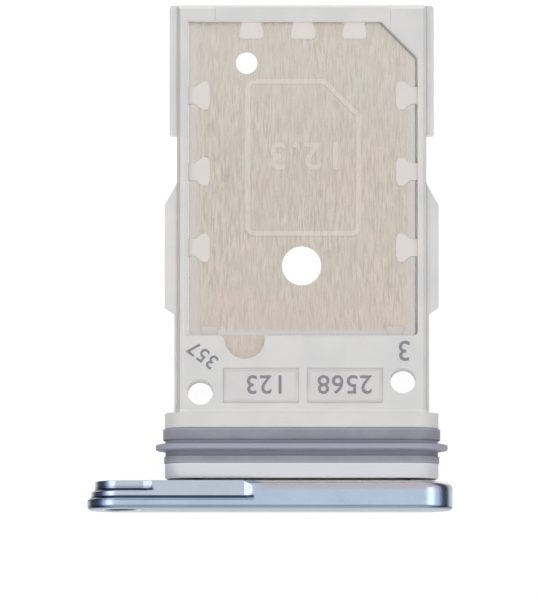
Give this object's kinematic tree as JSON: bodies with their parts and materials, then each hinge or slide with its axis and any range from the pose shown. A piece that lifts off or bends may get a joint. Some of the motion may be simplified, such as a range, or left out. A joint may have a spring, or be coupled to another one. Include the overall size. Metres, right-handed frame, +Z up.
{
  "type": "sim card tray",
  "caption": "Slide-in tray that holds two nano cards back to back on a pressed plate, with a moulded frame, a rubber seal and a metal cap.",
  "frame": {"origin": "middle of the base of the tray's box: on the plane of the cap's lower flat, centred across the cap and along the tray's length", "axes": "+Y is the way the tray slides into the phone, so the cap's face looks along -Y; +Z is up, square to the plate; +X is to the right as seen from the cap's face"},
  "size_m": [0.0144, 0.0198, 0.0027],
  "materials": {
    "cap": "fine blasted, blue anodised",
    "frame": "moulded, satin",
    "plate": "brushed along the tray's length",
    "seal": "matt silicone"
  },
  "bodies": {
    "root": {"face_cap": "cap", "tray_frame": "frame", "support_plate": "plate", "seal_ring": "seal"}
  },
  "joints": []
}
